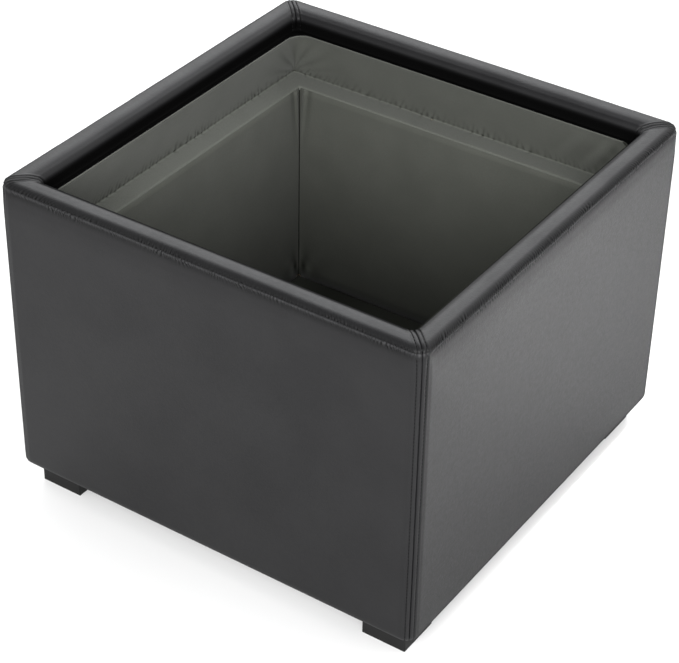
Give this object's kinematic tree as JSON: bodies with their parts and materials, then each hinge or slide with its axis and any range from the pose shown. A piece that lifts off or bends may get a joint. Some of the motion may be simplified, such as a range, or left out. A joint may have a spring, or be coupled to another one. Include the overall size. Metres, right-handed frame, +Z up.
{
  "type": "storage ottoman",
  "caption": "Square storage ottoman shown without its lid: padded box in black faux leather with a rolled rim, grey lined hollow, recessed ledge for the lid and low block feet.",
  "frame": {"origin": "on the floor, under the middle of the box", "axes": "+Z up; +X and +Y run along the walls of the square box; the front wall faces -Y"},
  "size_m": [0.51, 0.51, 0.39],
  "materials": {
    "faux_leather": "satin",
    "lining": "matte",
    "foam": "matte",
    "board": "matte",
    "rail_wood": "matte",
    "hardboard": "matte",
    "foot_black": "matte",
    "dust_cloth": "matte",
    "screw_steel": "zinc plated"
  },
  "bodies": {
    "root": {"cover_front": "faux_leather", "rim_band_front": "faux_leather", "rim_foam_front": "foam", "side_pad_front": "foam", "side_board_front": "board", "ledge_rail_front": "rail_wood", "guide_rail_front": "rail_wood", "lining_band_front": "lining", "lining_ledge_front": "lining", "lining_wall_front": "lining", "stiffener_front": "hardboard", "cover_right": "faux_leather", "rim_band_right": "faux_leather", "rim_foam_right": "foam", "side_pad_right": "foam", "side_board_right": "board", "ledge_rail_right": "rail_wood", "guide_rail_right": "rail_wood", "lining_band_right": "lining", "lining_ledge_right": "lining", "lining_wall_right": "lining", "stiffener_right": "hardboard", "cover_back": "faux_leather", "rim_band_back": "faux_leather", "rim_foam_back": "foam", "side_pad_back": "foam", "side_board_back": "board", "ledge_rail_back": "rail_wood", "guide_rail_back": "rail_wood", "lining_band_back": "lining", "lining_ledge_back": "lining", "lining_wall_back": "lining", "stiffener_back": "hardboard", "cover_left": "faux_leather", "rim_band_left": "faux_leather", "rim_foam_left": "foam", "side_pad_left": "foam", "side_board_left": "board", "ledge_rail_left": "rail_wood", "guide_rail_left": "rail_wood", "lining_band_left": "lining", "lining_ledge_left": "lining", "lining_wall_left": "lining", "stiffener_left": "hardboard", "corner_block_front_left": "rail_wood", "foot_front_left": "foot_black", "corner_block_front_right": "rail_wood", "foot_front_right": "foot_black", "corner_block_back_right": "rail_wood", "foot_back_right": "foot_black", "corner_block_back_left": "rail_wood", "foot_back_left": "foot_black", "floor_board": "board", "lining_floor": "lining", "dust_cover": "dust_cloth", "corner_screws": "screw_steel", "rail_screws": "screw_steel", "foot_screws": "screw_steel"}
  },
  "joints": []
}
